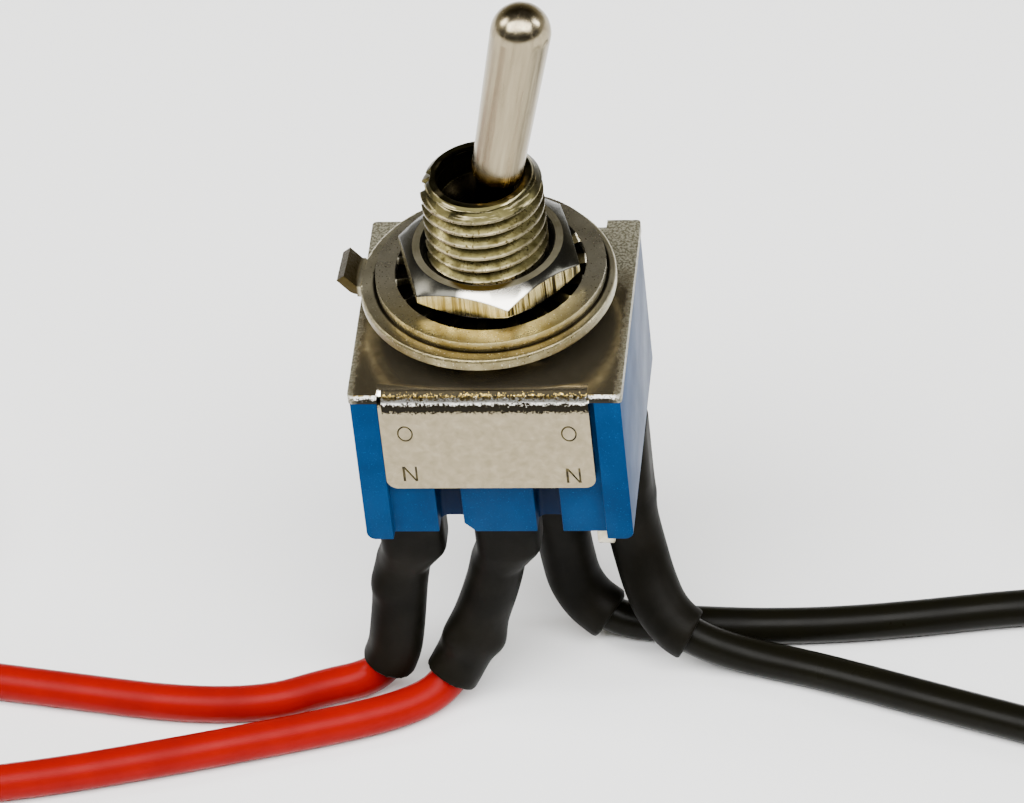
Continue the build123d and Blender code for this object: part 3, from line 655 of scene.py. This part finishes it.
# Each ON reads downwards: a ring for the O, and under it three bars for the N.
punches = []
for x, ring_z, letter_z in ((-4.02, -2.49, -5.1), (3.9, -2.53, -5.25)):
    deselect_all()
    bpy.ops.mesh.primitive_torus_add(
        major_segments=40,
        minor_segments=10,
        major_radius=LETTER_RADIUS * MM,
        minor_radius=STROKE * MM,
        location=(x * MM, FLANGE_FACE * MM, ring_z * MM),
        rotation=(math.radians(90), 0, 0),
    )
    ring_punch = bpy.context.object
    bpy.ops.transform.resize(value=(0.78, 1, 1.02))
    punches.append(ring_punch)
    for offset, length, angle, stroke in (
        (-0.3, 0.95, 0, 0.06),
        (0, 1.06, -31, STROKE),
        (0.3, 0.95, 0, STROKE),
    ):
        centre = (x + 0.02 + offset, FLANGE_FACE, letter_z)
        punches.append(rod("letter_bar", centre, length, angle, stroke))
punch = join_into(punches[0], punches[1:])
punch.data.materials.append(stamped_groove)

bracket = cad_copy("bracket", "plated_bracket")
break_edges(bracket, 0.06)
bracket.data.materials.append(plated_sheet)
apply_modifier(
    bracket,
    "BOOLEAN",
    {
        "operation": "DIFFERENCE",
        "object": punch,
        "solver": "EXACT",
        "use_self": True,
        "material_mode": "TRANSFER",
    },
)
bpy.data.objects.remove(punch)
level_faces(bracket)
finish_piece(bracket, "switch", ["bracket"], "satin_nickel")


# ---- Bushing ----
# A brass casting with a rolled fine thread, nickel plated, held between the bracket and the housing.
# Plating is thin and yellowish in the roots of the thread, which are also painted dark as shade, and its
# crests are painted light as a highlight.

THREAD_PITCH = 0.75
THREAD_ROOT = 2.52
THREAD_OUT = 2.99
THREAD_START = 3.9
THREAD_TURNS = 6
THREAD_STEPS = 48
GROOVE_WIDTH = 0.69
GROOVE_TIP_SHARE = 0.12
CREST_STARTS, CREST_ENDS = 2.86, 2.95
LIP_STARTS, LIP_ENDS = 7.75, 8.0
BORE_SHADE_STARTS, BORE_SHADE_ENDS = 2.2, 2.1


def off_axis(tree, place):
    """A point's place in plan, and its distance from the bushing's axis."""
    plan = add(tree, "VectorMath", {"operation": "MULTIPLY", 0: place, 1: (1, 1, 0)})
    return plan, add(tree, "VectorMath", {"operation": "LENGTH", 0: plan})


# Bright nickel: crests painted light as a highlight over stained, yellowish roots painted dark as shade,
# with pocks 0.14 mm across and fine pits.
nickel_on_brass, tree, shader, place = material(
    "bright_nickel_on_brass", {"Base Color": "#C9BFA6", "Metallic": 1.0, "Roughness": 0.22}
)
radius = off_axis(tree, place)[1]
crest = add(tree, "MapRange", {"Value": radius, "From Min": CREST_STARTS * MM, "From Max": CREST_ENDS * MM})
stain = add(tree, "TexNoise", {"Vector": place, "Scale": 1.8 / MM, "Detail": 4.0})
# Painted light: the crests' tone is a painted highlight, and the darker tone everywhere else is painted
# shade.
crest_highlight = add(tree, "ValToRGB", {"Fac": stain, "stops": [(0.3, "#6B644C"), (0.7, "#968C70")]})
flank_tone_with_shade = add(tree, "ValToRGB", {"Fac": stain, "stops": [(0.3, "#2E2912"), (0.7, "#6A6340")]})
pocks = speckle(tree, place, 0.14, 0.58, 0.66)
pits = add(tree, "TexNoise", {"Vector": place, "Scale": 7 / MM, "Detail": 2.0})
# The rolled lip at the top is painted dark olive as its dark reflection, with painted glints in streaks
# round it.
upward = add(tree, "SeparateXYZ", {0: place}).outputs["Z"]
rim_top = add(tree, "MapRange", {"Value": upward, "From Min": LIP_STARTS * MM, "From Max": LIP_ENDS * MM})
spun = add(tree, "Mapping", {"Vector": place, "Scale": (0.3, 0.3, 5)})
glint_streaks = add(tree, "TexNoise", {"Vector": spun, "Scale": 2.2 / MM, "Detail": 3.0})
lip_shade_and_glints = add(tree, "ValToRGB", {"Fac": glint_streaks, "stops": [(0.55, "#38341F"), (0.66, "#A89D78")]})
# Painted shade darkens the bore that the lever swings in.
bore_shade = add(tree, "MapRange", {
    "Value": radius, "From Min": BORE_SHADE_STARTS * MM, "From Max": BORE_SHADE_ENDS * MM,
})
coats = [(crest, crest_highlight), (pocks, "#3A331A"), (rim_top, lip_shade_and_glints), (bore_shade, "#17130A")]
fit(tree, shader, {
    "Base Color": layered(tree, flank_tone_with_shade, coats),
    "Roughness": add(tree, "ValToRGB", {"Fac": stain, "stops": [(0.3, 0.4), (0.7, 0.24)]}),
    "Normal": add(tree, "Bump", {"Height": pits, "Strength": 0.3, "Distance": 0.015 * MM}),
})

# The groove's profile is a strip narrowed at its inner edge and wound up the bushing.
middle = (THREAD_ROOT + THREAD_OUT) / 2 * MM
deselect_all()
bpy.ops.mesh.primitive_plane_add(
    size=1, location=(middle, 0, THREAD_START * MM), rotation=(math.radians(90), 0, 0)
)
groove = bpy.context.object
groove.name = "thread_groove"
groove.scale = ((THREAD_OUT - THREAD_ROOT) * MM, GROOVE_WIDTH * MM, 1)
bpy.ops.object.transform_apply(location=True, rotation=True, scale=True)
for vertex in groove.data.vertices:
    vertex.select = vertex.co.x < middle
for edge in groove.data.edges:
    edge.select = all(groove.data.vertices[i].select for i in edge.vertices)
for face in groove.data.polygons:
    face.select = False
bpy.ops.object.mode_set(mode="EDIT")
bpy.ops.transform.resize(value=(1, 1, GROOVE_TIP_SHARE), center_override=(middle, 0, THREAD_START * MM))
bpy.ops.mesh.select_all(action="SELECT")
bpy.ops.mesh.delete(type="ONLY_FACE")
bpy.ops.object.mode_set(mode="OBJECT")
apply_modifier(
    groove,
    "SCREW",
    {
        "axis": "Z",
        "screw_offset": THREAD_PITCH * MM,
        "iterations": THREAD_TURNS,
        "steps": THREAD_STEPS,
        "render_steps": THREAD_STEPS,
    },
)
close_ends()

bushing = cad_copy("bushing", "threaded_bushing")
break_edges(bushing, 0.04)
apply_modifier(bushing, "BOOLEAN", {"operation": "DIFFERENCE", "object": groove, "solver": "EXACT"})
bpy.data.objects.remove(groove)
break_edges(bushing, 0.012, 1, 40)
finish_piece(bushing, "switch", ["bushing"], "bright_nickel", nickel_on_brass)


# ---- Lever ----
# A bat turned from brass with its ball and tail, nickel plated and barrelled to a soft shine.
# Fine turning and drawing marks run along the shank; plating thins to brass at its shoulder, painted bright
# there as a highlight, with painted shade below.

LEVER_LEAN = math.radians(12.28)
PIVOT = 4.8
SHOULDER_HIGHLIGHT_STARTS, SHOULDER_HIGHLIGHT_ENDS = 9.35, 8.9
SHADE_STARTS, SHADE_ENDS = 8.72, 8.5

plated_bat, tree, shader, place = material(
    "barrelled_nickel_on_brass_bat", {"Base Color": "#D2C9B6", "Metallic": 1.0, "Roughness": 0.2}
)
# The marks are 0.4 mm wide streaks drawn out along the lever, and its skin has dents 1 mm across.
upright = add(tree, "Mapping", {
    "vector_type": "POINT",
    "Vector": place,
    "Rotation": (0, -LEVER_LEAN, 0),
    "Location": (PIVOT * MM * math.sin(LEVER_LEAN), 0, 0),
})
drawn = add(tree, "Mapping", {"Vector": upright, "Scale": (1, 1, 0.06)})
streaks = add(tree, "TexNoise", {"Vector": drawn, "Scale": 2.6 / MM, "Detail": 4.0, "Roughness": 0.6})
tone = add(tree, "ValToRGB", {"Fac": streaks, "stops": [(0.3, "#847861"), (0.7, "#9E9378")]})
dents = add(tree, "TexNoise", {"Vector": place, "Scale": 0.9 / MM, "Detail": 1.0})
relief = add(tree, "Bump", {"Height": streaks, "Strength": 0.12, "Distance": 0.02 * MM})
relief = add(tree, "Bump", {"Height": dents, "Normal": relief, "Strength": 0.15, "Distance": 0.05 * MM})
# Brass shows at the shoulder, painted bright as a highlight, and painted shade darkens what is below it.
height = add(tree, "SeparateXYZ", {0: upright}).outputs["Z"]
shoulder_highlight = add(tree, "MapRange", {"Value": height, "From Min": SHOULDER_HIGHLIGHT_STARTS * MM, "From Max": SHOULDER_HIGHLIGHT_ENDS * MM})
bore_shade = add(tree, "MapRange", {
    "Value": height, "From Min": SHADE_STARTS * MM, "From Max": SHADE_ENDS * MM,
})
fit(tree, shader, {
    "Base Color": layered(tree, tone, [(shoulder_highlight, "#C49A3C"), (bore_shade, "#17130A")]),
    "Roughness": add(tree, "ValToRGB", {"Fac": streaks, "stops": [(0.3, 0.3), (0.7, 0.16)]}),
    "Normal": relief,
})

dress_node("lever", plated_bat)


# ---- Works inside ----
# A nylon block on the lever's tail carries a sprung plunger for each pole, which tips a rocking contact.
# The contacts are brass strip, silver plated; the springs are drawn steel wire.

# Moulded nylon: milky, with soft shades 1.1 mm across.
nylon, tree, shader, place = material(
    "natural_nylon", {"Base Color": "#E4E0D2", "Roughness": 0.5, "IOR": 1.53}
)
shade = add(tree, "TexNoise", {"Vector": place, "Scale": 0.9 / MM, "Detail": 3.0})
fit(tree, shader, {
    "Base Color": add(tree, "ValToRGB", {"Fac": shade, "stops": [(0.3, "#D9D4C3"), (0.7, "#EAE7DB")]}),
    "Roughness": add(tree, "ValToRGB", {"Fac": shade, "stops": [(0.3, 0.58), (0.7, 0.45)]}),
})

# Silver plate: pale, with yellowish tarnish in patches 0.7 mm across that also dull it.
silver_plate, tree, shader, place = material(
    "silver_plated_brass_strip", {"Base Color": "#D9D5CB", "Metallic": 1.0, "Roughness": 0.3}
)
tarnish = add(tree, "TexNoise", {"Vector": place, "Scale": 1.5 / MM, "Detail": 4.0})
fit(tree, shader, {
    "Base Color": add(tree, "ValToRGB", {"Fac": tarnish, "stops": [(0.3, "#9A9072"), (0.65, "#C9C2AE")]}),
    "Roughness": add(tree, "ValToRGB", {"Fac": tarnish, "stops": [(0.3, 0.42), (0.7, 0.24)]}),
})

# Drawn wire: a cool grey, with marks of the die 0.17 mm across.
drawn_steel, tree, shader, place = material(
    "drawn_spring_steel_wire", {"Base Color": "#A9A9A8", "Metallic": 1.0, "Roughness": 0.3}
)
marks = add(tree, "TexNoise", {"Vector": place, "Scale": 6 / MM, "Detail": 2.0})
fit(tree, shader, {
    "Base Color": add(tree, "ValToRGB", {"Fac": marks, "stops": [(0.35, "#8E8E8C"), (0.65, "#BEBEBC")]}),
})

dress_node("actuator_block", nylon)
for pole in ("front", "back"):
    dress_node(f"plunger_{pole}", silver_plate)
    dress_node(f"rocker_{pole}", silver_plate)
    # A spring's foot sits on its plunger and its top stays in the block; the copy keeps the CAD spring's
    # shape and place.
    coil_spring = cad_copy(f"plunger_spring_{pole}", f"coil_spring_{pole}")
    bpy.ops.object.parent_clear(type="CLEAR_KEEP_TRANSFORM")
    bpy.ops.object.shade_smooth_by_angle(angle=math.radians(60))
    coil_spring.data.materials.append(drawn_steel)
    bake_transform(coil_spring)
    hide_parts(f"plunger_spring_{pole}")


# ---- Terminals and solder ----
# Six flat lugs blanked from silvered brass strip stand through the housing's floor.
# Four of them carry a lead, its tinned core laid along the lug and run in with solder.

for pole in ("front", "back"):
    for column in ("left", "middle", "right"):
        node = f"terminal_{pole}_{column}"
        lug = cad_copy(node, f"solder_lug_{pole}_{column}")
        break_edges(lug, 0.06)
        finish_piece(lug, "switch", [node], "silvered_brass", silver_plate)

# Tin solder: bright where it ran smooth and frosted in patches 0.3 mm across where it set last.
tin_solder, tree, shader, place = material(
    "tin_solder", {"Base Color": "#C9C9C6", "Metallic": 1.0, "Roughness": 0.32}
)
frost = add(tree, "TexNoise", {"Vector": place, "Scale": 3 / MM, "Detail": 4.0})
fit(tree, shader, {
    "Base Color": add(tree, "ValToRGB", {"Fac": frost, "stops": [(0.3, "#A8A8A4"), (0.7, "#DADAD8")]}),
    "Roughness": add(tree, "ValToRGB", {"Fac": frost, "stops": [(0.3, 0.5), (0.7, 0.22)]}),
    "Normal": add(tree, "Bump", {"Height": frost, "Strength": 0.3, "Distance": 0.02 * MM}),
})
for lead_name in LEADS:
    dress_node(f"solder_joint_{lead_name}", tin_solder)


# ---- Sleeves ----
# Black heat-shrink tubing over each soldered lug, shrunk flat over the lug and round over the wire.
# Its ends draw in and roll, and the solder and the wire's end show through as soft swellings.

# Polyolefin: nearly black and half matt, with a bloom 2 mm across and wrinkles 0.4 mm across.
shrink_tube, tree, shader, place = material(
    "black_heatshrink_polyolefin",
    {"Base Color": "#0E0D09", "Roughness": 0.5, "IOR": 1.5, "Specular IOR Level": 0.05},
)
bloom = add(tree, "TexNoise", {"Vector": place, "Scale": 0.45 / MM, "Detail": 4.0})
wrinkle = add(tree, "TexNoise", {"Vector": place, "Scale": 2.6 / MM, "Detail": 3.0, "Distortion": 0.4})
fit(tree, shader, {
    "Base Color": add(tree, "ValToRGB", {"Fac": bloom, "stops": [(0.35, "#080704"), (0.7, "#110F0A")]}),
    "Roughness": add(tree, "ValToRGB", {"Fac": bloom, "stops": [(0.3, 0.56), (0.7, 0.42)]}),
    "Normal": add(tree, "Bump", {"Height": wrinkle, "Strength": 0.22, "Distance": 0.03 * MM}),
})

# Swellings and hollows: a place, a reach and how far the skin moves out or in, in millimetres.
SWELLS = {
    "front_left": [((-6.75, -3.2, -15.6), 0.8, 0.26), ((-5.5, -3.6, -16.2), 0.8, -0.05)],
    "front_middle": [
        ((-3.3, -3.3, -19.0), 0.8, 0.42),
        ((-1.1, -3.2, -19.6), 0.9, 0.36),
        ((-2.0, -3.9, -17.6), 0.9, -0.06),
    ],
    "back_middle": [
        ((3.4, 0.8, -22.4), 0.7, 0.08),
        ((4.3, 1.6, -21.0), 0.4, 0.1),
        ((3.9, 1.5, -22.0), 0.5, -0.12),
    ],
    "back_right": [
        ((7.1, 0.6, -17.2), 0.8, 0.08),
        ((5.8, 1.2, -20.4), 0.7, 0.05),
        ((6.9, -0.2, -20.6), 0.9, -0.18),
    ],
}


def sleeve(name):
    """A shrunk sleeve: the CAD sleeve's skin drawn soft, with its swellings."""
    node = f"sleeve_{name}"
    tube = cad_copy(node, f"shrink_sleeve_{name}")
    apply_modifier(tube, "REMESH", {"mode": "VOXEL", "voxel_size": 0.11 * MM, "use_smooth_shade": True})
    apply_modifier(tube, "SMOOTH", {"factor": 0.5, "iterations": 14})
    vertices = tube.data.vertices
    outwards = [vertex.normal.copy() for vertex in vertices]
    for vertex, outward in zip(vertices, outwards):
        travel = sum(
            push * math.exp(-((vertex.co / MM - Vector(centre)).length / reach) ** 2)
            for centre, reach, push in SWELLS[name]
        )
        vertex.co += outward * travel * MM
    finish_piece(tube, "switch", [node], "black_sleeving", shrink_tube)


for lead_name in LEADS:
    sleeve(lead_name)


# ---- Nuts, locating ring and lock washer ----
# Hexagon nuts broached from brass bar, a stamped steel ring with a bent tab, and a toothed spring washer.
# All are nickel plated in a barrel, which grains their edges; the nuts' flats keep their drawn lines.

BORE_RADIUS = 3.6
TURNING_FEED = 0.13


def barrelled(name, tones, rough, edge_radius, shade_radius):
    """Barrel-plated metal: clouds 0.9 mm across, dark pits and pale grains, and a painted greyer reflection
    away from the front.

    It is coarser at the rim, painted dark as shade past it on a bent tab, and painted with shade inside a
    radius, under what lies on it.
    """
    made, tree, shader, place = material(
        name, {"Base Color": tones["pale"], "Metallic": 0.95, "Roughness": rough}
    )
    clouds = add(tree, "TexNoise", {"Vector": place, "Scale": 1.1 / MM, "Detail": 5.0})
    colour = add(tree, "ValToRGB", {"Fac": clouds, "stops": [(0.3, tones["dark"]), (0.7, tones["pale"])]})
    radius = off_axis(tree, place)[1]
    masks = []
    for source, low, high, most in (
        (add(tree, "SeparateXYZ", {0: place}).outputs["Y"], -4.5, -0.5, 0.85),
        (radius, edge_radius + 0.15, edge_radius + 0.35, 1.0),
        (radius, shade_radius, shade_radius - 0.08, 1.0),
        (radius, edge_radius - 0.5, edge_radius, 1.0),
    ):
        limits = {"From Min": low * MM, "From Max": high * MM, "To Max": most}
        masks.append(add(tree, "MapRange", {"Value": source, **limits}))
    rear_reflection, tab_shade, shaded, rim = masks
    # Painted light: a greyer painted reflection away from the front, painted shade on the tab past the rim,
    # and painted shade under what lies on the piece.
    coats = [
        (rear_reflection, tones["side"]),
        (speckle(tree, place, 0.11, 0.66, 0.74), tones["pit_and_tab_shade"]),
        (speckle(tree, place, 0.09, 0.66, 0.76), tones["grain"]),
        (tab_shade, tones["pit_and_tab_shade"]),
        (shaded, tones["shade"]),
    ]
    gloss_stops = [(0.3, rough + 0.08), (0.7, rough - 0.04)]
    grain = add(tree, "TexNoise", {"Vector": place, "Scale": 8 / MM, "Detail": 2.0})
    coarseness = add(tree, "ValToRGB", {"Fac": rim, "stops": [(0.0, 0.14), (1.0, 0.8)]})
    fit(tree, shader, {
        "Base Color": layered(tree, colour, coats),
        "Roughness": add(tree, "ValToRGB", {"Fac": clouds, "stops": gloss_stops}),
        "Normal": add(tree, "Bump", {"Height": grain, "Strength": coarseness, "Distance": 0.03 * MM}),
    })
    return made


# The pale tone away from the front is a painted reflection, and the darkest tones paint shade on the tab
# and under what lies on each piece.
ring_metal = barrelled(
    "barrelled_nickel_on_steel_ring",
    {
        "dark": "#6A6042", "pale": "#8E8361", "side": "#C2BCA4",
        "pit_and_tab_shade": "#3A3119", "grain": "#CFC7AE", "shade": "#17130A",
    },
    rough=0.32,
    edge_radius=6.2,
    shade_radius=5.78,
)
washer_metal = barrelled(
    "passivated_nickel_on_spring_steel",
    {
        "dark": "#8E7C46", "pale": "#BDAF7E", "side": "#C2BEAE",
        "pit_and_tab_shade": "#5A4C28", "grain": "#EDE5C8", "shade": "#1E1A0C",
    },
    rough=0.28,
    edge_radius=5.6,
    shade_radius=4.62,
)

# The faced top of a nut keeps its turning lines; the chamfered corners are smooth.
turned_face, tree, shader, place = material(
    "turned_nut_face_nickel_on_brass", {"Base Color": "#8A8268", "Metallic": 0.92, "Roughness": 0.3}
)
clouds = add(tree, "TexNoise", {"Vector": place, "Scale": 1.3 / MM, "Detail": 4.0})
faced = add(tree, "ValToRGB", {"Fac": clouds, "stops": [(0.3, "#8A846C"), (0.7, "#AAA38B")]})
cornered = add(tree, "MapRange", {"Value": facing(tree, "Z"), "From Min": 0.98, "From Max": 0.93})
# Only the corner at the front gets a painted highlight, and the other chamfered corners are painted dark as
# reflection; the face close to the bore is darker brown at its front.
plan, radius = off_axis(tree, place)
near = []
for centre, low, high in (((0.7, -4.2, 0), 2.0, 1.5), ((0, -2.0, 0), 1.9, 1.7)):
    distance = add(tree, "VectorMath", {"operation": "DISTANCE", 0: plan, 1: [v * MM for v in centre]})
    near.append(add(tree, "MapRange", {"Value": distance, "From Min": low * MM, "From Max": high * MM}))
front_corner_highlight, bore_front_darkening = near
chamfer_reflection = layered(tree, "#3C3B35", [(front_corner_highlight, "#D6D1C4")])
rings = add(tree, "Math", {"operation": "MULTIPLY", 0: radius, 1: 2 * math.pi / (TURNING_FEED * MM)})
rings = add(tree, "Math", {"operation": "SINE", 0: rings})
flatness = add(tree, "ValToRGB", {"Fac": cornered, "stops": [(0.0, 0.3), (1.0, 0.0)]})
fit(tree, shader, {
    "Base Color": layered(tree, faced, [(bore_front_darkening, "#5E4C1E"), (cornered, chamfer_reflection)]),
    "Roughness": add(tree, "ValToRGB", {"Fac": cornered, "stops": [(0.0, 0.42), (1.0, 0.2)]}),
    "Normal": add(tree, "Bump", {"Height": rings, "Strength": flatness, "Distance": 0.01 * MM}),
})

# Drawn lines run up a nut's flats, 0.15 mm apart. They are worn to brass in places, and sharper on the
# flats to the right.
broached_flat, tree, shader, place = material(
    "broached_nut_flat_nickel_on_brass", {"Base Color": "#CABF9F", "Metallic": 1.0, "Roughness": 0.26}
)
upright_lines = add(tree, "Mapping", {"Vector": place, "Scale": (1, 1, 0.03)})
lines = add(tree, "TexNoise", {
    "Vector": upright_lines, "Scale": 6.5 / MM, "Detail": 3.0, "Roughness": 0.65,
})
soft_stops = [(0.38, "#85784E"), (0.48, "#AFA57E"), (0.62, "#C9C1A2")]
sharp_stops = [(0.44, "#2A230E"), (0.48, "#9C9068"), (0.56, "#E0D8B4")]
soft_lines = add(tree, "ValToRGB", {"Fac": lines, "stops": soft_stops})
sharp_lines = add(tree, "ValToRGB", {"Fac": lines, "stops": sharp_stops})
right_flat = add(tree, "MapRange", {"Value": facing(tree, "X"), "From Min": 0.2, "From Max": 0.3})
fit(tree, shader, {
    "Base Color": layered(tree, soft_lines, [(right_flat, sharp_lines)]),
    "Normal": add(tree, "Bump", {"Height": lines, "Strength": 0.8, "Distance": 0.05 * MM}),
})

for node, piece_name in (("lower_nut", "panel_nut_lower"), ("upper_nut", "panel_nut_upper")):
    nut = cad_copy(node, piece_name)
    break_edges(nut, 0.05, 2, 20)
    level_faces(nut)
    nut.data.materials.append(turned_face)
    nut.data.materials.append(broached_flat)
    for face in nut.data.polygons:
        on_side = abs(face.normal.z) < 0.1
        outside = Vector((face.center.x, face.center.y)).length > BORE_RADIUS * MM
        face.material_index = 1 if on_side and outside else 0
    finish_piece(nut, "switch", [node], "bright_nickel")

locating_ring = cad_copy("locating_ring", "tabbed_locating_ring")
break_edges(locating_ring, 0.05)
level_faces(locating_ring)
finish_piece(locating_ring, "switch", ["locating_ring"], "satin_nickel", ring_metal)

lock_washer = cad_copy("lock_washer", "toothed_lock_washer")
break_edges(lock_washer, 0.11, 3)
level_faces(lock_washer)
finish_piece(lock_washer, "switch", ["lock_washer"], "satin_nickel", washer_metal)
